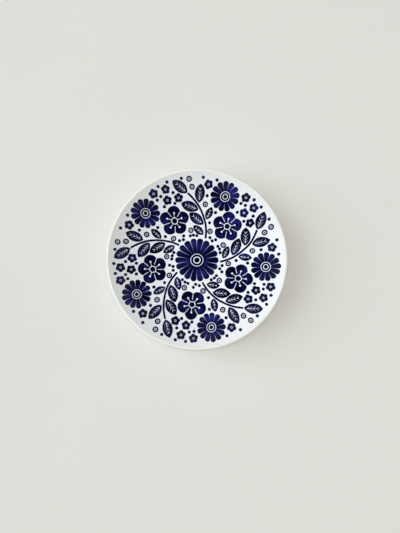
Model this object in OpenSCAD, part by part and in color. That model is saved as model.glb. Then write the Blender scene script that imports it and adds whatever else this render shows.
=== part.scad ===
// Soy sauce dish: a small round porcelain dish on a foot ring, glazed white, with a blue printed pattern.
// Sizes are in millimetres. The dish stands on the plane z = 0 and is centred on the z axis.

/* [Dish] */
// Diameter over the lip
dish_d = 100; // [90:1:120]
// Height from the table to the top of the lip
dish_h = 20; // [18:0.5:24]
// Diameter of the flat floor inside the dish
well_d = 20; // [14:1:24]
// Thickness of the floor, with its glaze
floor_t = 3.8; // [2.8:0.1:4.4]
// Thickness of the rounded lip, with its glaze
lip_t = 2; // [1.6:0.1:2.6]
// How far the rounded lip stands out from the wall on each side
lip_swell = 0.03; // [0.02:0.01:0.1]

/* [Foot ring] */
// Outer diameter of the foot ring at the table
foot_d = 56; // [54:1:62]
// Width of the foot ring at the table
foot_w = 2.8; // [2.2:0.1:3.4]
// How far each side of the foot ring spreads on its way up
foot_flare = 0.4; // [0.1:0.1:0.6]
// Slanted edge on both sides of the resting face
foot_chamfer = 0.5; // [0.3:0.1:0.8]
// Height of the hollow inside the foot ring
recess_h = 3; // [2.5:0.1:4]

/* [Glaze] */
// Thickness of the glaze
glaze_t = 0.2; // [0.1:0.05:0.3]
// Height of the strip of the foot ring that is left bare
bare_h = 1.2; // [0.9:0.1:1.8]

/* [Print] */
// Thickness of the printed colour
print_t = 0.06; // [0.04:0.01:0.1]
// Bare band between the lip and the print
print_margin = 3.2; // [2.6:0.1:8]
// Width of the fine white lines inside the flowers and leaves
line_w = 0.5; // [0.4:0.05:0.6]
// White gap between the tips of narrow petals
petal_gap = 0.35; // [0.25:0.05:0.5]
// Least white gap between two motifs, where the smaller one gives way
motif_gap = 0.2; // [0.1:0.05:0.4]

/* [Centre flower] */
// Radius of the flower in the middle of the dish
centre_flower_r = 12.2; // [10:0.1:12.4]
// Number of its petals
centre_petals = 18; // [14:1:22]
// Radius of its round heart
centre_heart_r = 3.2; // [2.4:0.1:4]

/* [Plum flowers] */
// Radius of each plum flower
plum_r = 8.2; // [7:0.1:8.4]
// Distance of the plum flowers from the middle
plum_ring_r = 25.4; // [22:0.1:27]
// Turn of the plum flowers from the vine
plum_turn = 37.8; // [34:0.1:40]

/* [Outer flowers] */
// Radius of each flower near the lip
outer_flower_r = 8; // [6.5:0.1:8.2]
// Number of its petals
outer_petals = 13; // [11:1:16]
// Radius of its round heart
outer_heart_r = 2.3; // [1.8:0.1:2.8]
// Distance of the outer flowers from the middle
outer_ring_r = 38.5; // [36:0.1:40]
// Turn of the outer flowers from the vine
outer_turn = 38.5; // [34:0.1:42]

/* [Vines] */
// Radius of the circle that each vine follows
vine_r = 27; // [24:0.1:30]
// Width of a vine
vine_w = 0.9; // [0.6:0.1:1.1]
// Distance from the middle to the end of a vine
vine_end_r = 37.4; // [34:0.1:40]

/* [Leaves] */
// Length of a large leaf
leaf_l = 10; // [8:0.1:10.2]
// Width of a large leaf
leaf_w = 5.4; // [4.4:0.1:5.6]
// Length of a small leaf
small_leaf_l = 7.4; // [6:0.1:7.6]
// Width of a small leaf
small_leaf_w = 3.9; // [3.2:0.1:4]
// Distance from the middle of the vine to the base of a leaf
leaf_start = 1.8; // [1.4:0.1:2.4]

/* [Small blossoms] */
// Radius of a small blossom
blossom_r = 2.5; // [2:0.1:2.6]

/* [Rings and dots] */
// Radius of a ring with a dot in it
ring_r = 1.5; // [1:0.1:1.6]
// Radius of a dot
dot_r = 0.8; // [0.5:0.1:0.9]

/* [Hidden] */
$fn = 96;

white = "#f4f6f8";
biscuit = "#e9e4d8";
ink = "#1b1f5e";

// Each derived size is rounded to a thousandth, so that arcs and lines end on the same points.
function snap(x) = round(x * 1000) / 1000;

rim_r = dish_d / 2;
well_r = well_d / 2;
lip_r = lip_t / 2;
lip_c = [rim_r - lip_r, dish_h - lip_r];
floor_z = recess_h + floor_t;

// The wall lies between two arcs that start level at the floor and close in on the lip.
wall_half = lip_r - lip_swell;
wall_run = lip_c.x - well_r;
rise_in = lip_c.y - floor_z;
rise_out = lip_c.y - recess_h;
in_r = snap((wall_run ^ 2 + rise_in ^ 2 - wall_half ^ 2) / (2 * (rise_in + wall_half)));
out_r = snap((wall_run ^ 2 + rise_out ^ 2 - wall_half ^ 2) / (2 * (rise_out - wall_half)));
in_c = [well_r, floor_z + in_r];
out_c = [well_r, recess_h + out_r];

// A point beyond the lip, on the line from the inner arc's centre through the lip's centre
past_lip = in_c + (lip_c - in_c) * 1.2;

foot_r = foot_d / 2;
foot_in_r = foot_r - foot_w;
foot_mid_r = foot_r - foot_w / 2;
foot_joint_z = recess_h + out_r - sqrt(out_r ^ 2 - (foot_r + foot_flare - well_r) ^ 2);
foot_top_z = snap(foot_joint_z + floor_t / 2);

// The print is drawn for a disc of this radius, then scaled to the dish.
drawn_r = 46.8;
print_scale = snap((rim_r - print_margin) / drawn_r);
arms = 5;

// Angle of a vine at a distance from the middle, up to the far side of its circle and on from there
function vine_angle(r) = -acos(min(1, r / (2 * vine_r)));

// Heading of a vine from the outward direction
function vine_heading(r) = 90 + vine_angle(r);

// Turn of each kind of flower in the first arm, and its further turn in each next arm
plum_lean = 20;
plum_spin = 13;
outer_lean = 9;
outer_spin = 11;
blossom_spin = 29;

// Places of the leaves in one arm: share of the way out, and turn from the heading of the vine
large_leaf_places = [[0.419, 44], [0.594, 44], [0.65, -39]];
small_leaf_places = [[0.303, 54], [0.466, -37]];

// Places of the small motifs in one arm: share of the way out, and turn from the vine at that distance
blossom_places = [[0.771, 10.6], [0.91, 8], [0.932, 15.6], [0.791, 19.3], [0.902, 47.6]];
ring_places = [[0.366, 29], [0.9573, 57.5], [0.8675, 63], [0.3803, 64.2], [0.6752, 63.5]];
dot_places = [[0.295, 21], [0.303, 28.6], [0.303, 36], [0.333, 48], [0.295, 54.5], [0.312, 62],
    [0.474, 65], [0.611, 54.4], [0.726, 18.4], [0.744, 27.4], [0.774, 56.6], [0.846, 8.4],
    [0.85, 22.3], [0.863, 17.6], [0.968, 36.5], [0.974, 6.5], [0.974, 46], [0.979, 71], [0.974, 61.4]];

// The part of the section plane outside the floor, up to the middle of the lip
module wall_wedge() {
    polygon([in_c, [well_r, 0], [dish_d, 0], past_lip]);
}

// Half section of floor, wall and lip, with every face moved in by the inset
module wall_section(inset) {
    translate([0, recess_h + inset]) square([well_r, floor_t - 2 * inset]);
    difference() {
        intersection() {
            translate(out_c) circle(out_r - inset);
            wall_wedge();
        }
        translate(in_c) circle(in_r + inset);
    }
    translate(lip_c) circle(lip_r - inset);
}

// Half section of the foot, up into the floor, with both sides moved in by the inset
module foot_section(inset) {
    polygon([
        [foot_in_r - foot_flare + inset, foot_top_z],
        [foot_in_r + inset, foot_chamfer],
        [foot_in_r + foot_chamfer + inset, 0],
        [foot_r - foot_chamfer - inset, 0],
        [foot_r - inset, foot_chamfer],
        [foot_r + foot_flare - inset, foot_top_z]
    ]);
}

// Half section of all the glaze: the skin of the dish above the bare strip
module skin_section() {
    difference() {
        union() {
            wall_section(0);
            foot_section(0);
        }
        union() {
            wall_section(glaze_t);
            foot_section(glaze_t);
        }
        square([dish_d, bare_h]);
    }
}

// The part of the section plane inside the foot ring, up to halfway through the floor and the wall
module base_area() {
    square([well_r, recess_h + floor_t / 2]);
    difference() {
        translate([well_r, 0]) square([foot_mid_r - well_r, foot_top_z]);
        translate(in_c) circle(in_r + floor_t / 2);
    }
}

// Thin skin on the inside of the dish that the printed colour fills
module print_skin() {
    rotate_extrude() {
        translate([0, floor_z]) square([well_r, print_t]);
        difference() {
            intersection() {
                translate(in_c) circle(in_r);
                wall_wedge();
            }
            translate(in_c) circle(in_r - print_t);
        }
    }
}

// Lays a flat drawing on the inside of the dish as printed colour.
module printed() {
    color(ink) intersection() {
        print_skin();
        linear_extrude(height = dish_h) scale(print_scale) children();
    }
}

// Puts a motif at a distance from the middle and at an angle, then turns it from the outward direction.
module at(r, angle, turn = 0) {
    rotate(angle) translate([r, 0]) rotate(turn) children();
}

// Repeats a motif once in each arm, at a turn from the vine. A spin turns it further in each next arm.
module in_arms(r, from_vine, turn = 0, spin = 0) {
    for (arm = [0:arms - 1])
        at(r, vine_angle(r) + from_vine + arm * 360 / arms, turn + arm * spin) children();
}

// One petal along x: a wedge cut off square at its base, with a round tip a little fuller than the wedge
module petal(base_r, tip_r, half_angle) {
    round_r = tip_r * sin(half_angle) / (1 + sin(half_angle));
    full_r = round_r * 1.03;
    wedge_l = tip_r - round_r;
    wedge_w = wedge_l * tan(half_angle);
    intersection() {
        union() {
            polygon([[0, 0], [wedge_l, -wedge_w], [wedge_l, wedge_w]]);
            translate([tip_r - full_r, 0]) circle(full_r);
        }
        translate([base_r, -tip_r]) square([tip_r, 2 * tip_r]);
    }
}

// Flower with many narrow petals round a ringed heart
module many_petals(r, petals, heart_r) {
    gap_angle = petal_gap / r * 180 / PI;
    for (i = [0:petals - 1])
        rotate(i * 360 / petals) petal(heart_r + line_w, r, (360 / petals - gap_angle) / 2);
    ring_dot(heart_r, heart_r * 0.68, heart_r * 0.44);
}

// Outline of a plum flower, which can grow by a margin
module plum_outline(r, grow = 0) {
    petal_r = 0.43 * r;
    circle(r - petal_r + grow);
    for (i = [0:4]) rotate(i * 72) translate([r - petal_r, 0]) circle(petal_r + grow);
}

// Flower with five round petals parted by white lines, white stamens and a round heart
module plum(r) {
    heart_r = 0.17 * r;
    halo_r = 0.25 * r;
    stamen_r = 0.53 * r;
    stamen_tip_r = 0.08 * r;
    parting_r = 0.34 * r;
    difference() {
        plum_outline(r);
        difference() {
            circle(halo_r);
            circle(heart_r);
        }
        for (i = [0:4]) rotate(i * 72) {
            translate([(heart_r + halo_r) / 2, -line_w / 2]) square([stamen_r - halo_r, line_w]);
            translate([stamen_r, 0]) circle(stamen_tip_r);
            rotate(36) translate([parting_r, -line_w / 2]) square([r - parting_r, line_w]);
        }
    }
}

// Radius of the two arcs that edge a pointed leaf
function leaf_edge_r(l, w) = (l ^ 2 + w ^ 2) / (4 * w);

// Outline of a pointed leaf along x from its base, which can grow by a margin
module leaf_outline(l, w, grow = 0) {
    edge_r = leaf_edge_r(l, w);
    translate([l / 2, 0]) intersection() {
        translate([0, edge_r - w / 2]) circle(edge_r + grow);
        translate([0, w / 2 - edge_r]) circle(edge_r + grow);
    }
}

// Leaf with a white midrib and side veins that stop short of its edge
module leaf(l, w, veins) {
    edge_r = leaf_edge_r(l, w);
    rib_from = 0.08 * l;
    rib_wide = 0.2 * l;
    rib_to = 0.9 * l;
    vein_angle = 42;
    difference() {
        leaf_outline(l, w);
        polygon([[rib_from, 0], [rib_wide, line_w * 0.4], [rib_to, 0], [rib_wide, -line_w * 0.4]]);
        for (i = [1:veins], side = [-1, 1]) {
            end_x = rib_wide + 0.62 * l * i / veins;
            end_y = 0.68 * (sqrt(edge_r ^ 2 - (end_x - l / 2) ^ 2) - edge_r + w / 2);
            start_x = end_x - end_y / tan(vein_angle);
            polygon([[start_x - line_w / 2, 0], [start_x + line_w / 2, 0], [end_x, side * end_y]]);
        }
    }
}

// Outline of a small blossom, which can grow by a margin
module blossom_outline(r, grow = 0) {
    petal_r = 0.45 * r;
    for (i = [0:4]) rotate(i * 72) translate([r - petal_r, 0]) circle(petal_r + grow);
}

// Small flower with five round petals and a ringed dot
module blossom(r) {
    difference() {
        blossom_outline(r);
        circle(0.26 * r);
    }
    circle(0.13 * r);
}

// Ring with a dot in it
module ring_dot(r, hole_r, dot_r) {
    difference() {
        circle(r);
        circle(hole_r);
    }
    circle(dot_r);
}

// One vine in each arm, from near the centre flower to its end, which can grow by a margin
module vines(grow = 0) {
    for (arm = [0:arms - 1]) rotate(arm * 360 / arms) intersection() {
        translate([vine_r, 0]) difference() {
            circle(vine_r + vine_w / 2 + grow);
            circle(vine_r - vine_w / 2 - grow);
        }
        difference() {
            circle(vine_end_r + grow);
            circle(centre_flower_r + 2 * line_w - grow);
        }
        rotate(-90) square(2 * vine_r);
    }
}

// Puts a motif at the place of each flower, leaf or small motif of one kind.
module at_plum_flowers() {
    in_arms(plum_ring_r, plum_turn, plum_lean, plum_spin) children();
}

module at_outer_flowers() {
    in_arms(outer_ring_r, outer_turn, outer_lean, outer_spin) children();
}

module beside_vines(places) {
    for (place = places) {
        r = place[0] * drawn_r;
        in_arms(r, 0, vine_heading(r) + place[1]) translate([leaf_start, 0]) children();
    }
}

module at_large_leaves() {
    beside_vines(large_leaf_places) children();
    in_arms(vine_end_r, 0, vine_heading(vine_end_r)) translate([line_w, 0]) children();
}

module at_small_leaves() {
    beside_vines(small_leaf_places) children();
}

module at_places(places, spin = 0) {
    for (place = places) in_arms(place[0] * drawn_r, place[1], 0, spin) children();
}

// Areas that the motifs keep clear round themselves: each kind of motif gives way to those before it.
module centre_area() {
    circle(centre_flower_r + motif_gap);
}

module plum_areas() {
    at_plum_flowers() plum_outline(plum_r, motif_gap);
}

module outer_areas() {
    at_outer_flowers() circle(outer_flower_r + motif_gap);
}

module flower_areas() {
    centre_area();
    plum_areas();
    outer_areas();
}

module leaf_areas() {
    at_large_leaves() leaf_outline(leaf_l, leaf_w, motif_gap);
    at_small_leaves() leaf_outline(small_leaf_l, small_leaf_w, motif_gap);
}

module blossom_areas() {
    at_places(blossom_places, blossom_spin) blossom_outline(blossom_r, motif_gap);
}

module ring_areas() {
    at_places(ring_places) circle(ring_r + motif_gap);
}

// Flat drawings of the print, one for each kind of motif
module draw_centre_flower() {
    many_petals(centre_flower_r, centre_petals, centre_heart_r);
}

module draw_plum_flowers() {
    difference() {
        at_plum_flowers() plum(plum_r);
        centre_area();
    }
}

module draw_outer_flowers() {
    difference() {
        at_outer_flowers() many_petals(outer_flower_r, outer_petals, outer_heart_r);
        centre_area();
        plum_areas();
    }
}

module draw_vines() {
    difference() {
        vines();
        flower_areas();
    }
}

module draw_leaves() {
    difference() {
        union() {
            at_large_leaves() leaf(leaf_l, leaf_w, 4);
            at_small_leaves() leaf(small_leaf_l, small_leaf_w, 3);
        }
        flower_areas();
        vines(motif_gap);
    }
}

module draw_blossoms() {
    difference() {
        at_places(blossom_places, blossom_spin) blossom(blossom_r);
        flower_areas();
        vines(motif_gap);
        leaf_areas();
    }
}

module draw_rings() {
    difference() {
        at_places(ring_places) ring_dot(ring_r, ring_r * 0.57, ring_r * 0.28);
        flower_areas();
        vines(motif_gap);
        leaf_areas();
        blossom_areas();
    }
}

module draw_dots() {
    difference() {
        at_places(dot_places) circle(dot_r);
        flower_areas();
        vines(motif_gap);
        leaf_areas();
        blossom_areas();
        ring_areas();
    }
}

module porcelain_body() {
    color(biscuit) rotate_extrude() wall_section(glaze_t);
}

module foot_ring() {
    color(biscuit) rotate_extrude() difference() {
        foot_section(glaze_t);
        translate(out_c) circle(out_r - glaze_t);
    }
}

module glaze_coat() {
    color(white) rotate_extrude() difference() {
        skin_section();
        base_area();
    }
}

module base_glaze() {
    color(white) rotate_extrude() intersection() {
        skin_section();
        base_area();
    }
}

module print_centre_flower() {
    printed() draw_centre_flower();
}

module print_plum_flowers() {
    printed() draw_plum_flowers();
}

module print_outer_flowers() {
    printed() draw_outer_flowers();
}

module print_vines() {
    printed() draw_vines();
}

module print_leaves() {
    printed() draw_leaves();
}

module print_blossoms() {
    printed() draw_blossoms();
}

module print_rings() {
    printed() draw_rings();
}

module print_dots() {
    printed() draw_dots();
}

porcelain_body();
foot_ring();
glaze_coat();
base_glaze();
print_centre_flower();
print_plum_flowers();
print_outer_flowers();
print_vines();
print_leaves();
print_blossoms();
print_rings();
print_dots();
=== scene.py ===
"""Soy sauce dish: a small porcelain dish on a foot ring, printed in cobalt and glazed white.

Sizes of the dish are in millimetres. MM turns them into the scene's metres.
"""
import math

import bpy
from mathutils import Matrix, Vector, noise
from mathutils.geometry import delaunay_2d_cdt, intersect_line_line_2d


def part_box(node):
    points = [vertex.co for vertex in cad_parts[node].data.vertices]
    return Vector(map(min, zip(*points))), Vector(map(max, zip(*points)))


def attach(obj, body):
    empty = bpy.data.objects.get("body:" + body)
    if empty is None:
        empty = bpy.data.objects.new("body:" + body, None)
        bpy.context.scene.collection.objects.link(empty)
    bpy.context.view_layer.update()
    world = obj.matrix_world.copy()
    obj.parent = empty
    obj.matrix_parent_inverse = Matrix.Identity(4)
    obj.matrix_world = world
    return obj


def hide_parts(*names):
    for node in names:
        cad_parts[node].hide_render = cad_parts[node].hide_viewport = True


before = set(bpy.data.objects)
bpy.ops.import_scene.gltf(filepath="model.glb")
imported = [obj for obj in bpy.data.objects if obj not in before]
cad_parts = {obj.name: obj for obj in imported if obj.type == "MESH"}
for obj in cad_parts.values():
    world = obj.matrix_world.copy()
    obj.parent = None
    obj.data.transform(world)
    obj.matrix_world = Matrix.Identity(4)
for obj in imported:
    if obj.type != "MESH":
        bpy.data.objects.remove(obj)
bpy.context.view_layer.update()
MM = 0.001


def node_box(node):
    """Lowest and highest corner of a solid, in millimetres."""
    low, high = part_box(node)
    return low / MM, high / MM


# Sizes that the frame gives
coat_low, coat_high = node_box("glaze_coat")
body_low, body_high = node_box("porcelain_body")
print_low, _ = node_box("print_centre_flower")
rim_r = coat_high.x
dish_h = coat_high.z
bare_h = coat_low.z
glaze_t = dish_h - body_high.z
recess_h = body_low.z - glaze_t
floor_z = print_low.z

# Sizes of the section, as in the solids: the floor inside, the lip and how far it stands out from the wall,
# and the foot ring, whose sides spread on their way up to its top inside the wall
well_r = 10
lip_r = 1
lip_swell = 0.03
foot_r = 28
foot_w = 2.8
foot_flare = 0.4
foot_top_z = 7.84

# Finish of the section: soft edges of the bare foot, filled joints between the foot and the bowl, and the
# rolled edge of the glaze with its small bulge
foot_edge = 0.55
joint_fill = 1.1
glaze_roll = 0.35
roll_bulge = glaze_t / 3

# Thickness of the printed colour above the glaze, and how far it reaches down into the glaze
ink_t = 0.03
ink_sink = 0.03

# Soft edge of the colour, where it has run into the glaze: its width, the share of a white gap that it
# takes at most, and how far below the surface of the glaze it ends
bleed_w = 0.22
bleed_share = 0.3
bleed_dip = 0.01

# The wall lies between two arcs that start level at the floor and close in on the lip.
wall_half = lip_r - lip_swell
lip_c = (rim_r - lip_r, dish_h - lip_r)
wall_run = lip_c[0] - well_r
rise_in = lip_c[1] - floor_z
rise_out = lip_c[1] - recess_h
in_r = (wall_run ** 2 + rise_in ** 2 - wall_half ** 2) / (2 * (rise_in + wall_half))
out_r = (wall_run ** 2 + rise_out ** 2 - wall_half ** 2) / (2 * (rise_out - wall_half))
in_c = (well_r, floor_z + in_r)
out_c = (well_r, recess_h + out_r)
foot_in_r = foot_r - foot_w


# Curves in a plane

# Points nearer to each other than this count as one.
same_place = 1e-4


def arc(centre, radius, start, end, steps):
    """Points on an arc between two angles in degrees."""
    points = []
    for i in range(steps + 1):
        angle = math.radians(start + (end - start) * i / steps)
        points.append((centre[0] + radius * math.cos(angle), centre[1] + radius * math.sin(angle)))
    return points


def bend(start, corner, end, steps=8):
    """Points on a smooth curve from start to end that turns at a corner."""
    points = []
    for i in range(steps + 1):
        t = i / steps
        weights = ((1 - t) ** 2, 2 * t * (1 - t), t ** 2)
        points.append(tuple(sum(w * p[k] for w, p in zip(weights, (start, corner, end))) for k in (0, 1)))
    return points


def line(start, end, steps):
    """Points on a straight line."""
    return [(start[0] + (end[0] - start[0]) * i / steps, start[1] + (end[1] - start[1]) * i / steps)
            for i in range(steps + 1)]


def joined(*runs):
    """One run of points from several, without the points that repeat where they meet."""
    points = []
    for run in runs:
        for point in run:
            if not points or math.dist(point, points[-1]) > same_place:
                points.append(point)
    return points


# Half sections of the dish, as runs of (distance from the axis, height)

def lip_angle(centre):
    """Angle of the line from a wall arc's centre to the lip's centre, in degrees."""
    return math.degrees(math.atan2(lip_c[1] - centre[1], lip_c[0] - centre[0]))


def under_wall(r, inset=0):
    """Height of the underside of the dish, or of the clay an inset above it."""
    if r <= well_r:
        return recess_h + inset
    return out_c[1] - math.sqrt((out_r - inset) ** 2 - (r - well_r) ** 2)


def under_angle(r, inset=0):
    """Angle of the outer wall arc at a distance from the axis, or of the clay an inset above it."""
    return -math.degrees(math.acos((r - well_r) / (out_r - inset)))


def underside(inset, end_r, steps):
    """From the middle of the underside out to a distance from the axis, or the clay an inset above it."""
    return joined(
        line((0, recess_h + inset), (well_r, recess_h + inset), steps=4),
        arc(out_c, out_r - inset, -90, under_angle(end_r, inset), steps),
    )


def foot_spread(z, inset):
    """How far a side of the foot ring has spread at a height, less an inset of the clay behind it."""
    return foot_flare * z / foot_top_z - inset


def inner_side(z, inset=0):
    """Distance of the foot ring's inner side from the axis at a height, or of the clay behind it."""
    return foot_in_r - foot_spread(z, inset)


def outer_side(z, inset=0):
    """Distance of the foot ring's outer side from the axis at a height, or of the clay behind it."""
    return foot_r + foot_spread(z, inset)


def upper_skin(inset, steps):
    """From the middle of the floor, up the inside, over the lip and down the outside to the foot."""
    floor_steps = max(2, steps // 6)
    lip_steps = max(8, steps // 2)
    foot_end = under_angle(outer_side(recess_h) + joint_fill)
    return joined(
        line((0, floor_z - inset), (well_r, floor_z - inset), floor_steps),
        arc(in_c, in_r + inset, -90, lip_angle(in_c), steps),
        arc(lip_c, wall_half - inset, lip_angle(in_c) + 180, lip_angle(out_c), lip_steps),
        arc(out_c, out_r - inset, lip_angle(out_c), foot_end, steps),
    )


def foot_glaze(side):
    """Glaze on a side of the foot: corner with the bowl, end of the filled joint, and rolled edge."""
    corner_r = side(recess_h)
    corner_z = under_wall(corner_r)
    fill_z = corner_z - joint_fill
    roll_z = bare_h + glaze_roll
    roll_start = (side(roll_z), roll_z)
    roll_corner = (side(roll_z, -roll_bulge), bare_h)
    roll_end = (side(bare_h, glaze_t), bare_h)
    return (corner_r, corner_z), (side(fill_z), fill_z), bend(roll_start, roll_corner, roll_end)


def coat_section():
    """The glaze inside, over the lip and outside, with a rolled edge above the bare strip of the foot."""
    shown = upper_skin(inset=0, steps=44)
    hidden = upper_skin(inset=glaze_t, steps=12)
    corner, fill_end, roll = foot_glaze(outer_side)
    clay_r = outer_side(recess_h, glaze_t)
    return joined(
        shown,
        bend(shown[-1], corner, fill_end),
        roll,
        [(clay_r, under_wall(clay_r, glaze_t))],
        hidden[::-1],
    )


def base_section():
    """The glaze inside the foot ring, with a filled corner and a rolled edge."""
    corner, fill_end, roll = foot_glaze(inner_side)
    fill_r = corner[0] - joint_fill
    clay_r = inner_side(recess_h, glaze_t)
    return joined(
        underside(inset=glaze_t, end_r=clay_r, steps=6),
        roll[::-1],
        bend(fill_end, corner, (fill_r, under_wall(fill_r))),
        underside(inset=0, end_r=fill_r, steps=12)[::-1],
    )


def foot_section():
    """The clay of the foot ring, bare at its lower end, with soft edges."""
    inner_r, outer_r = inner_side(0, glaze_t), outer_side(0, glaze_t)
    top_ends = (inner_side(recess_h, glaze_t), 0), (outer_side(recess_h, glaze_t), 0)
    top = [(r, under_wall(r, glaze_t)) for r, _ in line(*top_ends, steps=6)]
    edge_in = (inner_side(foot_edge, glaze_t), foot_edge)
    edge_out = (outer_side(foot_edge, glaze_t), foot_edge)
    rest_in, rest_out = (inner_r + foot_edge, 0), (outer_r - foot_edge, 0)
    return joined(
        top,
        line(top[-1], edge_out, steps=4),
        bend(edge_out, (outer_r, 0), rest_out),
        line(rest_out, rest_in, steps=3),
        bend(rest_in, (inner_r, 0), edge_in),
        line(edge_in, top[0], steps=4)[:-1],
    )


# Meshes

def new_piece(name, verts, faces, material, slot, *nodes):
    """A piece of the dish from points in millimetres, which stands for some of the solids."""
    mesh = bpy.data.meshes.new(name)
    mesh.from_pydata([Vector(v) * MM for v in verts], [], faces)
    mesh.shade_smooth()
    mesh.materials.append(material)
    piece = bpy.data.objects.new(name, mesh)
    bpy.context.scene.collection.objects.link(piece)
    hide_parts(*nodes)
    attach(piece, "root")
    return piece


def turned_on_axis(section, segments=288):
    """Points and faces of a closed section, out along its top and back below, turned about the axis."""
    verts, rings, faces = [], [], []
    for r, z in section:
        if r < same_place:
            rings.append([len(verts)] * segments)
            verts.append((0, 0, z))
            continue
        rings.append(range(len(verts), len(verts) + segments))
        for i in range(segments):
            angle = 2 * math.pi * i / segments
            verts.append((r * math.cos(angle), r * math.sin(angle), z))
    for low, high in zip(rings, rings[1:] + rings[:1]):
        for i in range(segments):
            j = (i + 1) % segments
            corners = dict.fromkeys((low[i], high[i], high[j], low[j]))
            if len(corners) > 2:
                faces.append(tuple(corners))
    return verts, faces


# The print: flat motifs in millimetres, cut into triangles and laid on the inside of the dish

# Fineness of the print: step along an outline, fewest steps round a circle and round a petal's tip, steps
# along a vine, and inside an outline the step of the points, of their rows and their room to the outline
edge_step = 0.4
circle_steps = 14
tip_steps = 8
vine_steps = 60
fill_step = 1
row_step = 0.87 * fill_step
fill_room = 0.5 * fill_step

# Points of an outline that are nearer than this are cut as one, and the cut fills the hull of all points.
cut_gap = 1e-5
cut_in_hull = 0

# The strip of a soft edge keeps at least this share of the length of the outline beside it. Where it is
# shorter, in a narrow corner, the strip is narrowed by a factor, a few times over.
least_strip = 0.2
strip_narrowing = 0.6
strip_rounds = 8


def circle(radius, centre=(0, 0)):
    """A closed outline round a centre."""
    count = max(circle_steps, round(2 * math.pi * radius / edge_step))
    return arc(centre, radius, 0, 360, count)[:-1]


def about(radius, angle):
    """A point at a distance from the origin and an angle in degrees."""
    return (radius * math.cos(math.radians(angle)), radius * math.sin(math.radians(angle)))


def turned(points, angle, start=(0, 0)):
    """Points turned about the origin by degrees, after a start is added."""
    c, s = math.cos(math.radians(angle)), math.sin(math.radians(angle))
    moved = [(x + start[0], y + start[1]) for x, y in points]
    return [(x * c - y * s, x * s + y * c) for x, y in moved]


def box(x0, x1, half_width):
    """A closed rectangle along x."""
    return [(x0, -half_width), (x1, -half_width), (x1, half_width), (x0, half_width)]


def is_inside(point, outline):
    """Whether a point lies inside a closed outline."""
    x, y = point
    crossed = False
    for (x0, y0), (x1, y1) in zip(outline, outline[1:] + outline[:1]):
        if (y0 > y) != (y1 > y) and x < x0 + (y - y0) * (x1 - x0) / (y1 - y0):
            crossed = not crossed
    return crossed


def rim_edges(triangles):
    """Edges that only one triangle has, each with its triangle on the left."""
    edges = {(face[k], face[(k + 1) % 3]) for face in triangles for k in range(3)}
    return sorted(edge for edge in edges if edge[::-1] not in edges)


def filled(outlines, cuts=()):
    """The area inside any of the outlines and outside every cut, as (points, triangles, levels).

    The level of a point is 0 inside the area and 1 on its outline.
    """
    def inked(point):
        return (any(is_inside(point, outline) for outline in outlines)
                and not any(is_inside(point, cut) for cut in cuts))

    points, edges = [], []
    for outline in [*outlines, *cuts]:
        first, count = len(points), len(outline)
        points += outline
        edges += [(first + i, first + (i + 1) % count) for i in range(count)]
    reach = max(max(abs(x), abs(y)) for x, y in points)
    rows = math.ceil(reach / fill_step)
    fill = []
    for row in range(-rows, rows + 1):
        row_shift = 0.5 * (row % 2)
        for column in range(-rows, rows + 1):
            spot = (fill_step * (column + row_shift), row_step * row)
            if inked(spot) and min(math.dist(spot, p) for p in points) > fill_room:
                fill.append(spot)
    cut = delaunay_2d_cdt([Vector(p) for p in points + fill], edges, [], cut_in_hull, cut_gap)
    spots = [tuple(p) for p in cut[0]]
    kept = []
    for face in cut[2]:
        middle = tuple(sum(spots[i][k] for i in face) / 3 for k in (0, 1))
        if inked(middle):
            kept.append(face)
    used = {old: new for new, old in enumerate(sorted({i for face in kept for i in face}))}
    triangles = [tuple(used[i] for i in face) for face in kept]
    on_outline = {i for edge in rim_edges(triangles) for i in edge}
    return [spots[i] for i in used], triangles, [int(i in on_outline) for i in range(len(used))]


def together(flats):
    """Several flat motifs as one."""
    points, triangles, levels = [], [], []
    for flat_points, flat_triangles, flat_levels in flats:
        first = len(points)
        points += flat_points
        triangles += [tuple(i + first for i in triangle) for triangle in flat_triangles]
        levels += flat_levels
    return points, triangles, levels


def placed(flat, angle, start=(0, 0)):
    """A flat motif moved to a start and then turned about the middle of the dish."""
    return turned(flat[0], angle, start), *flat[1:]


def bled(flat):
    """A flat motif with a narrow strip round its outlines. The points where the strip ends have level 2."""
    points, triangles, levels = flat
    rims = rim_edges(triangles)
    after = dict(rims)
    before = {b: a for a, b in rims}
    spots = {i: Vector(points[i]) for i in after}
    out, width = {}, {}
    for i in after:
        along = (spots[i] - spots[before[i]]).normalized() + (spots[after[i]] - spots[i]).normalized()
        out[i] = Vector((along.y, -along.x)).normalized()
        reach = spots[i] + out[i] * bleed_w / bleed_share
        others = [edge for edge in rims if i not in edge]
        hits = [intersect_line_line_2d(spots[i], reach, spots[a], spots[b]) for a, b in others]
        gap = min((hit - spots[i]).length for hit in [*hits, reach] if hit is not None)
        width[i] = bleed_share * gap
    for _ in range(strip_rounds):
        for a, b in rims:
            edge = spots[b] - spots[a]
            strip_edge = edge + out[b] * width[b] - out[a] * width[a]
            if strip_edge.dot(edge) < least_strip * edge.length_squared:
                width[a] *= strip_narrowing
                width[b] *= strip_narrowing
    ends = {i: len(points) + k for k, i in enumerate(after)}
    strip = [tuple(spots[i] + out[i] * width[i]) for i in after]
    sides = [side for a, b in rims for side in ((b, a, ends[a]), (b, ends[a], ends[b]))]
    return points + strip, triangles + sides, levels + [2] * len(strip)


# Sizes of the motifs, as in the solids

# Radius of the print, its number of arms, and the white lines and gaps inside the motifs
drawn_r = 46.8
arms = 5
white_line = 0.5
petal_gap = 0.35

# Flower in the middle and flowers near the lip: size, number of petals, and radius of the heart
centre_flower_r = 12.2
centre_petals = 18
centre_heart_r = 3.2
outer_flower_r = 8
outer_petals = 13
outer_heart_r = 2.3

# Plum flowers: radius, and number of round petals, which the small blossoms have too
plum_r = 8.2
round_petals = 5

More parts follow.
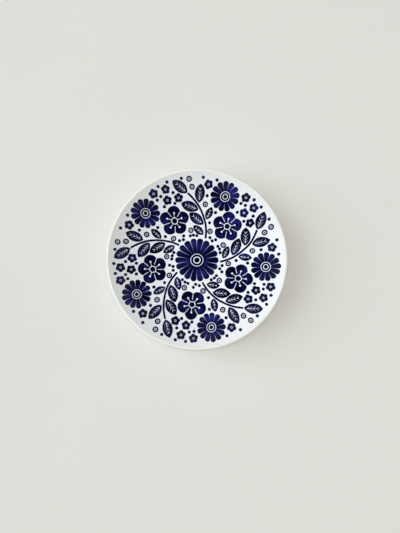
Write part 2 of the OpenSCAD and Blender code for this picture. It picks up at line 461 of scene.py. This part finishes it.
# Plum flowers and outer flowers in the arms: distance from the middle, turn from the vine, own turn in the
# first arm, and further turn in each next arm
plum_ring_r = 25.4
plum_turn = 37.8
plum_lean = 20
plum_spin = 13
outer_ring_r = 38.5
outer_turn = 38.5
outer_lean = 9
outer_spin = 11

# Vines: radius of the circle that each follows, width, and distance of the end from the middle
vine_r = 27
vine_w = 0.9
vine_end_r = 37.4

# Leaves: (length, width, pairs of side veins), and distance from the middle of the vine to a leaf's base
large_leaf = (10, 5.4, 4)
small_leaf = (7.4, 3.9, 3)
leaf_start = 1.8

# Small blossoms, with a further turn in each next arm, rings with a dot, and dots
blossom_r = 2.5
blossom_spin = 29
ring_r = 1.5
dot_r = 0.8

# A flower's heart and a small ring: shares of the radius for the hole and for the dot in it
heart_shares = (0.68, 0.44)
ring_shares = (0.57, 0.28)

# Places in one arm: share of the way out, and turn from the vine or, for a leaf, from the vine's heading
large_leaf_places = ((0.419, 44), (0.594, 44), (0.65, -39))
small_leaf_places = ((0.303, 54), (0.466, -37))
blossom_places = ((0.771, 10.6), (0.91, 8), (0.932, 15.6), (0.791, 19.3), (0.902, 47.6))
ring_places = ((0.366, 29), (0.9573, 57.5), (0.8675, 63), (0.3803, 64.2), (0.6752, 63.5))
dot_places = (
    (0.295, 21), (0.303, 28.6), (0.303, 36), (0.333, 48), (0.295, 54.5), (0.312, 62), (0.474, 65),
    (0.611, 54.4), (0.726, 18.4), (0.744, 27.4), (0.774, 56.6), (0.846, 8.4), (0.85, 22.3), (0.863, 17.6),
    (0.968, 36.5), (0.974, 6.5), (0.974, 46), (0.979, 71), (0.974, 61.4),
)

# Slow and quick wander of the hand-set print: how far, over what length, and in which layer of the noise.
# The seed makes it the same in every run.
wanders = ((0.22, 8, 3), (0.05, 1.7, 9))
wander_seed = 1
noise.seed_set(wander_seed)

# Edges of the printed layer that are steeper than this stay sharp.
sharp_angle = math.radians(50)


def vine_angle(r):
    """Angle of a vine at a distance from the middle of the dish."""
    return -math.degrees(math.acos(r / (2 * vine_r)))


def vine_heading(r):
    """Heading of a vine from the outward direction, at a distance from the middle of the dish."""
    return 90 + vine_angle(r)


def in_arms(flat, r, from_vine=0, lean=0, spin=0):
    """A motif once in each arm, turned a little further each time."""
    copies = []
    for arm in range(arms):
        own = placed(flat, lean + arm * spin)
        copies.append(placed(own, vine_angle(r) + from_vine + arm * 360 / arms, (r, 0)))
    return together(copies)


def at_places(flat, places, spin=0):
    """A motif at each place of a list, in every arm."""
    return together([in_arms(flat, share * drawn_r, turn, spin=spin) for share, turn in places])


def ring_dot(radius, hole_share, dot_share):
    """A ring with a dot in it."""
    ring = filled([circle(radius)], [circle(hole_share * radius)])
    return together([ring, filled([circle(dot_share * radius)])])


def petal(base_r, tip_r, half_angle):
    """A narrow petal along x, cut off square at its base and round at its tip."""
    slant = math.radians(half_angle)
    round_r = tip_r * math.sin(slant) / (1 + math.sin(slant))
    base_w = base_r * math.tan(slant)
    swing = 90 + half_angle
    steps = max(tip_steps, round(math.radians(2 * swing) * round_r / edge_step))
    tip = arc((tip_r - round_r, 0), round_r, -swing, swing, steps)
    return filled([[(base_r, -base_w), *tip, (base_r, base_w)]])


def many_petals(radius, petals, heart_r):
    """A flower with many narrow petals round a ringed heart."""
    half_angle = (360 / petals - math.degrees(petal_gap / radius)) / 2
    one = petal(heart_r + white_line, radius, half_angle)
    ring = [placed(one, i * 360 / petals) for i in range(petals)]
    return bled(together([*ring, ring_dot(heart_r, *heart_shares)]))


def plum(radius):
    """A flower with round petals, white partings and stamens, and a round heart."""
    petal_r = 0.43 * radius
    heart_r = 0.17 * radius
    halo_r = 0.25 * radius
    stamen_r = 0.53 * radius
    stamen_tip_r = 0.08 * radius
    parting_r = 0.34 * radius
    out = radius - petal_r
    stalk_start = (heart_r + halo_r) / 2
    stalk = box(stalk_start, stalk_start + stamen_r - halo_r, white_line / 2)
    parting = box(parting_r, radius, white_line / 2)
    outlines, cuts = [circle(out)], [circle(halo_r)]
    for i in range(round_petals):
        angle = i * 360 / round_petals
        outlines.append(circle(petal_r, about(out, angle)))
        cuts.append(turned(stalk, angle))
        cuts.append(circle(stamen_tip_r, about(stamen_r, angle)))
        cuts.append(turned(parting, angle + 180 / round_petals))
    return bled(together([filled(outlines, cuts), filled([circle(heart_r)])]))


def leaf(length, width, veins):
    """A pointed leaf along x with a white midrib and side veins that stop short of its edge."""
    edge_r = (length ** 2 + width ** 2) / (4 * width)
    swing = math.degrees(math.asin(length / 2 / edge_r))
    steps = round(length / edge_step)
    lower = arc((length / 2, edge_r - width / 2), edge_r, -90 - swing, -90 + swing, steps)
    upper = arc((length / 2, width / 2 - edge_r), edge_r, 90 - swing, 90 + swing, steps)
    rib_start, rib_widest, rib_end = 0.08 * length, 0.2 * length, 0.9 * length
    rib_half = 0.4 * white_line
    cuts = [[(rib_start, 0), (rib_widest, -rib_half), (rib_end, 0), (rib_widest, rib_half)]]
    vein_run = 0.62 * length
    vein_reach = 0.68
    vein_slope = math.tan(math.radians(42))
    vein_half = white_line / 2
    for i in range(1, veins + 1):
        end_x = rib_widest + vein_run * i / veins
        end_y = vein_reach * (math.sqrt(edge_r ** 2 - (end_x - length / 2) ** 2) - edge_r + width / 2)
        start_x = end_x - end_y / vein_slope
        base = [(start_x - vein_half, 0), (start_x + vein_half, 0)]
        cuts += [[*base, (end_x, side * end_y)] for side in (-1, 1)]
    return bled(filled([lower[:-1] + upper[:-1]], cuts))


def blossom(radius):
    """A small flower with round petals and a ringed dot."""
    petal_r = 0.45 * radius
    hole_r = 0.26 * radius
    heart_r = 0.13 * radius
    turns = [i * 360 / round_petals for i in range(round_petals)]
    petals = [circle(petal_r, about(radius - petal_r, turn)) for turn in turns]
    return bled(together([filled(petals, [circle(hole_r)]), filled([circle(heart_r)])]))


def vine():
    """A stem from near the centre flower to its end, on a circle through the middle of the dish.

    An angle at the centre of that circle is twice the angle at the middle of the dish.
    """
    start_r = centre_flower_r + 2 * white_line
    ends = [2 * vine_angle(r) for r in (start_r, vine_end_r)]
    outer = arc((vine_r, 0), vine_r + vine_w / 2, *ends, vine_steps)
    inner = arc((vine_r, 0), vine_r - vine_w / 2, *ends, vine_steps)
    return bled(filled([outer + inner[::-1]]))


def leaves():
    """Leaves beside each vine, and one at its end."""
    large, small = leaf(*large_leaf), leaf(*small_leaf)
    found = []
    for flat, places in ((large, large_leaf_places), (small, small_leaf_places)):
        beside = placed(flat, 0, (leaf_start, 0))
        for share, turn in places:
            r = share * drawn_r
            found.append(in_arms(beside, r, lean=vine_heading(r) + turn))
    at_end = placed(large, 0, (white_line, 0))
    found.append(in_arms(at_end, vine_end_r, lean=vine_heading(vine_end_r)))
    return together(found)


def hand_drawn(point):
    """A point of the print with the small wander of a hand-set pattern."""
    x, y = point
    for reach, length, layer in wanders:
        shift = noise.noise_vector(Vector((*point, layer)) / length)
        x += reach * shift.x
        y += reach * shift.y
    return (x, y)


def on_dish(point, lift):
    """A flat point laid on the inside of the dish, with a lift off the glaze."""
    r = math.hypot(*point)
    if r <= well_r:
        return (point[0], point[1], floor_z + lift)
    lean = math.asin((r - well_r) / in_r)
    lifted_r = well_r + (in_r - lift) * math.sin(lean)
    return (point[0] * lifted_r / r, point[1] * lifted_r / r, in_c[1] - (in_r - lift) * math.cos(lean))


def print_piece(name, flat, material, node):
    """Printed colour as a thin closed layer on the glaze. The points keep their levels for the material."""
    points, triangles, levels = flat
    drawn = [hand_drawn(p) for p in points]
    count = len(drawn)
    verts = [on_dish(p, -bleed_dip if level > 1 else ink_t) for p, level in zip(drawn, levels)]
    verts += [on_dish(p, -ink_sink) for p in drawn]
    faces = list(triangles)
    faces += [tuple(i + count for i in face[::-1]) for face in triangles]
    faces += [(a + count, b + count, b, a) for a, b in rim_edges(triangles)]
    piece = new_piece(name, verts, faces, material, "cobalt_print", node)
    piece.data.set_sharp_from_angle(angle=sharp_angle)
    drawn_edge = piece.data.attributes.new("drawn_edge", "FLOAT", "POINT")
    drawn_edge.data.foreach_set("value", levels * 2)


# Materials

# Places of the two colour inputs and the colour output of a Mix node, whose names repeat
mix_first = 6
mix_second = 7
mix_result = 2

glaze_ior = 1.5


def new_material(name):
    """A material, its node tree and its shader."""
    material = bpy.data.materials.new(name)
    material.use_nodes = True
    return material, material.node_tree, material.node_tree.nodes["Principled BSDF"]


def add(tree, kind, inputs=None, **settings):
    """A shader node with its settings and the values of its sockets."""
    node = tree.nodes.new("ShaderNode" + kind)
    for key, value in settings.items():
        setattr(node, key, value)
    for key, value in (inputs or {}).items():
        if isinstance(value, bpy.types.NodeSocket):
            tree.links.new(value, node.inputs[key])
        else:
            node.inputs[key].default_value = value
    return node


def reckoned(tree, operation, first, second):
    """The result of an operation on two values."""
    return add(tree, "Math", {0: first, 1: second}, operation=operation).outputs[0]


def ramp(tree, value, *stops):
    """Colour of a value, from (place, colour) stops."""
    node = add(tree, "ValToRGB", {"Fac": value})
    while len(node.color_ramp.elements) < len(stops):
        node.color_ramp.elements.new(0.5)
    for element, (place, colour) in zip(node.color_ramp.elements, stops):
        element.position = place
        element.color = (*colour, 1)
    return node.outputs["Color"]


def mixed(tree, share, first, second):
    """Two colours mixed by a share."""
    node = add(tree, "Mix", {"Factor": share, mix_first: first, mix_second: second}, data_type="RGBA")
    return node.outputs[mix_result]


def spread(tree, value, source, target):
    """A value moved from one range to another and held there."""
    node = add(tree, "MapRange", {"Value": value, "From Min": source[0], "From Max": source[1],
                                  "To Min": target[0], "To Max": target[1]}, clamp=True)
    return node.outputs["Result"]


def speckle(tree, place, scale, size, share):
    """Specks that fade round a full core: one in a share of the cells, of a size in cells."""
    cells = add(tree, "TexVoronoi", {"Vector": place, "Scale": scale, "Randomness": 1.0}, feature="F1")
    core = 0.6 * size
    near = spread(tree, cells.outputs["Distance"], (core, size), (1, 0))
    pick = add(tree, "SeparateColor", {"Color": cells.outputs["Color"]})
    chosen = reckoned(tree, "GREATER_THAN", pick.outputs["Red"], 1 - share)
    return reckoned(tree, "MULTIPLY", near, chosen)


def soft_noise(tree, place, scale, detail=3.0):
    """Cloudy values with features about one over the scale in metres."""
    return add(tree, "TexNoise", {"Vector": place, "Scale": scale, "Detail": detail}).outputs["Fac"]


def bump(tree, height, strength, distance, under=None):
    """The normal of a surface that a height makes uneven, on top of the unevenness under it."""
    inputs = {"Height": height, "Strength": strength, "Distance": distance}
    if under is not None:
        inputs["Normal"] = under
    return add(tree, "Bump", inputs).outputs["Normal"]


def finish(tree, shader, colour, rough, normal):
    """A surface's colour, roughness and normal on its shader."""
    tree.links.new(colour, shader.inputs["Base Color"])
    tree.links.new(rough, shader.inputs["Roughness"])
    tree.links.new(normal, shader.inputs["Normal"])


def glaze_finish(tree, place, shader, colour):
    """The gloss of a poured glaze over a colour, with slow waves and a fine orange peel."""
    rough = spread(tree, soft_noise(tree, place, scale=300), (0.3, 0.7), (0.07, 0.13))
    waves = soft_noise(tree, place, scale=70, detail=2.0)
    slow = bump(tree, waves, strength=0.05, distance=0.004)
    peel = soft_noise(tree, place, scale=900, detail=2.0)
    fine = bump(tree, peel, strength=0.02, distance=0.0004, under=slow)
    finish(tree, shader, colour, rough, fine)
    shader.inputs["IOR"].default_value = glaze_ior


def white_glaze():
    """Glossy white glaze: cool, creamier where it thins over the lip, with a few iron specks."""
    cool_white = (0.87, 0.895, 0.955)
    pale_white = (0.896, 0.916, 0.97)
    cream = (0.89, 0.87, 0.81, 1)
    iron = (0.36, 0.31, 0.27, 1)
    cream_low = (dish_h - 0.7) * MM
    cream_high = (dish_h - 0.1) * MM
    material, tree, shader = new_material("white_glaze")
    place = add(tree, "TexCoord").outputs["Object"]
    body = ramp(tree, soft_noise(tree, place, scale=40), (0.3, cool_white), (0.7, pale_white))
    height = add(tree, "SeparateXYZ", {"Vector": place}).outputs["Z"]
    lip = spread(tree, height, (cream_low, cream_high), (0, 0.75))
    worn = spread(tree, soft_noise(tree, place, scale=150), (0.35, 0.65), (0.5, 1))
    body = mixed(tree, reckoned(tree, "MULTIPLY", lip, worn), body, cream)
    specks = speckle(tree, place, scale=260, size=0.05, share=0.05)
    glaze_finish(tree, place, shader, mixed(tree, specks, body, iron))
    return material


def cobalt():
    """Printed cobalt: nearly black at drawn edges, bluer inside, with missed spots and a soft blue edge.

    The drawn edge is the level of a point: 0 inside a motif, 1 on its outline, 2 where the soft edge ends.
    """
    near_black = (0.0002, 0.0003, 0.007)
    dark_blue = (0.002, 0.003, 0.042)
    deep_blue = (0.012, 0.016, 0.16)
    grain_blue = (0.016, 0.020, 0.15, 1)
    missed_blue = (0.30, 0.34, 0.52, 1)
    run_blue = (0.06, 0.08, 0.40)
    faint_blue = (0.45, 0.53, 0.84)
    material, tree, shader = new_material("cobalt_print")
    place = add(tree, "TexCoord").outputs["Object"]
    patches = soft_noise(tree, place, scale=170, detail=5.0)
    drawn_edge = add(tree, "Attribute", attribute_name="drawn_edge").outputs["Fac"]
    darker = spread(tree, drawn_edge, (0, 1), (0, -0.22))
    thin = reckoned(tree, "ADD", darker, patches)
    body = ramp(tree, thin, (0.3, near_black), (0.48, dark_blue), (0.66, deep_blue))
    grain = spread(tree, soft_noise(tree, place, scale=2600, detail=2.0), (0.6, 0.85), (0, 0.4))
    body = mixed(tree, grain, body, grain_blue)
    missed = speckle(tree, place, scale=900, size=0.16, share=0.05)
    body = mixed(tree, missed, body, missed_blue)
    run = spread(tree, drawn_edge, (1, 1.75), (0, 1))
    run_colour = ramp(tree, run, (0.1, deep_blue), (0.5, run_blue), (1, faint_blue))
    run_share = spread(tree, run, (0, 0.25), (0, 1))
    glaze_finish(tree, place, shader, mixed(tree, run_share, body, run_colour))
    return material


def biscuit():
    """Bare fired clay of the foot: matte, off-white, with a fine grain and a few brown specks."""
    dim_clay = (0.70, 0.66, 0.58)
    pale_clay = (0.78, 0.75, 0.68)
    brown = (0.36, 0.29, 0.22, 1)
    material, tree, shader = new_material("biscuit")
    place = add(tree, "TexCoord").outputs["Object"]
    clouds = soft_noise(tree, place, scale=90, detail=4.0)
    body = ramp(tree, clouds, (0.3, dim_clay), (0.7, pale_clay))
    specks = speckle(tree, place, scale=1200, size=0.12, share=0.08)
    rough = spread(tree, soft_noise(tree, place, scale=1500), (0.3, 0.7), (0.72, 0.9))
    grain = bump(tree, soft_noise(tree, place, scale=4000), strength=0.35, distance=0.0001)
    finish(tree, shader, mixed(tree, specks, body, brown), rough, grain)
    return material


glaze_material = white_glaze()
ink_material = cobalt()
clay_material = biscuit()

# The dish

new_piece("glaze", *turned_on_axis(coat_section()), glaze_material, "white_glaze", "glaze_coat")
new_piece("underside_glaze", *turned_on_axis(base_section()), glaze_material, "white_glaze", "base_glaze")
new_piece("foot", *turned_on_axis(foot_section()), clay_material, "biscuit", "foot_ring")

# The bowl keeps its solid, which the glaze hides.
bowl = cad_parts["porcelain_body"].data
bowl.materials.clear()
bowl.materials.append(clay_material)

stem = vine()
plum_flower = plum(plum_r)
outer_flower = many_petals(outer_flower_r, outer_petals, outer_heart_r)
motifs = {
    "centre_flower": many_petals(centre_flower_r, centre_petals, centre_heart_r),
    "plum_flowers": in_arms(plum_flower, plum_ring_r, plum_turn, plum_lean, plum_spin),
    "outer_flowers": in_arms(outer_flower, outer_ring_r, outer_turn, outer_lean, outer_spin),
    "vines": together([placed(stem, arm * 360 / arms) for arm in range(arms)]),
    "leaves": leaves(),
    "blossoms": at_places(blossom(blossom_r), blossom_places, blossom_spin),
    "rings": at_places(bled(ring_dot(ring_r, *ring_shares)), ring_places),
    "dots": at_places(bled(filled([circle(dot_r)])), dot_places),
}
for motif, flat in motifs.items():
    print_piece("ink_" + motif, flat, ink_material, "print_" + motif)


# Floor, light and camera, with distances in metres

def floor():
    """A plain pale floor."""
    half_side = 3.0
    dim_tone = (0.742, 0.738, 0.728)
    pale_tone = (0.761, 0.755, 0.743)
    material, tree, shader = new_material("floor")
    place = add(tree, "TexCoord").outputs["Object"]
    tone = ramp(tree, soft_noise(tree, place, scale=9), (0.3, dim_tone), (0.7, pale_tone))
    tree.links.new(tone, shader.inputs["Base Color"])
    shader.inputs["Roughness"].default_value = 0.9
    mesh = bpy.data.meshes.new("floor")
    corners = [(x * half_side, y * half_side, 0) for x, y in ((-1, -1), (1, -1), (1, 1), (-1, 1))]
    mesh.from_pydata(corners, [], [(0, 1, 2, 3)])
    mesh.materials.append(material)
    plane = bpy.data.objects.new("floor", mesh)
    bpy.context.scene.collection.objects.link(plane)


def toward(azimuth, elevation):
    """A direction, with the azimuth turning from +X to +Y, in degrees."""
    turn, lift = math.radians(azimuth), math.radians(elevation)
    return Vector((math.cos(lift) * math.cos(turn), math.cos(lift) * math.sin(turn), math.sin(lift)))


def soft_lamp(name, azimuth, elevation, distance, size, power, colour):
    """A round soft light that faces the dish. The glaze mirrors the room and not the lamp."""
    lamp = bpy.data.lights.new(name, "AREA")
    lamp.shape = "DISK"
    lamp.size = size
    lamp.energy = power
    lamp.color = colour
    holder = bpy.data.objects.new(name, lamp)
    holder.location = toward(azimuth, elevation) * distance
    holder.rotation_euler = toward(azimuth, elevation).to_track_quat("Z", "Y").to_euler()
    holder.visible_glossy = False
    bpy.context.scene.collection.objects.link(holder)


def room():
    """Faint even light all round. The camera and the gloss see a room, pale low down and dim overhead."""
    even_light = (0.175, 0.165, 0.118, 1)
    low_tone = (0.62, 0.62, 0.595)
    middle_tone = (0.25, 0.25, 0.245)
    high_tone = (0.025, 0.025, 0.025)
    world = bpy.data.worlds.new("room")
    world.use_nodes = True
    tree = world.node_tree
    light = add(tree, "Background", {"Color": even_light, "Strength": 1.0})
    way = add(tree, "TexCoord").outputs["Generated"]
    height = add(tree, "SeparateXYZ", {"Vector": way}).outputs["Z"]
    tone = ramp(tree, height, (0.25, low_tone), (0.5, middle_tone), (0.75, high_tone))
    walls = add(tree, "Background", {"Color": tone, "Strength": 1.0})
    ray = add(tree, "LightPath").outputs
    shown = ray["Is Camera Ray"]
    for kind in ("Is Glossy Ray", "Is Transmission Ray"):
        shown = reckoned(tree, "MAXIMUM", shown, ray[kind])
    both = add(tree, "MixShader", {"Fac": shown, 1: light.outputs[0], 2: walls.outputs[0]})
    tree.links.new(both.outputs[0], tree.nodes["World Output"].inputs["Surface"])
    bpy.context.scene.world = world


def camera():
    """Nearly overhead, with the dish a little up and left of the middle of a picture 400 by 533."""
    view_azimuth = -90
    view_elevation = 88
    view_distance = 0.42
    picture_px = (400, 533)
    dish_px = (196.8, 259)
    dish_width_px = 182.4
    mm_per_px = 2 * rim_r / dish_width_px
    aim_x = (picture_px[0] / 2 - dish_px[0]) * mm_per_px
    aim_y = (dish_px[1] - picture_px[1] / 2) * mm_per_px
    aim = Vector((aim_x, aim_y, dish_h)) * MM
    lens = bpy.data.cameras.new("camera")
    lens.sensor_width = 36
    lens.lens = lens.sensor_width * view_distance / (picture_px[1] * mm_per_px * MM)
    holder = bpy.data.objects.new("camera", lens)
    holder.location = aim + toward(view_azimuth, view_elevation) * view_distance
    holder.rotation_euler = (math.radians(90 - view_elevation), 0, 0)
    bpy.context.scene.collection.objects.link(holder)
    bpy.context.scene.camera = holder


cool_light = (0.88, 0.953, 1.0)
warm_light = (1.0, 0.985, 0.935)

floor()
soft_lamp("window", azimuth=170, elevation=43, distance=9, size=9.7, power=570, colour=cool_light)
soft_lamp("ceiling", azimuth=0, elevation=90, distance=7.2, size=3, power=255, colour=warm_light)
room()
camera()
bpy.context.scene.view_settings.view_transform = "Standard"
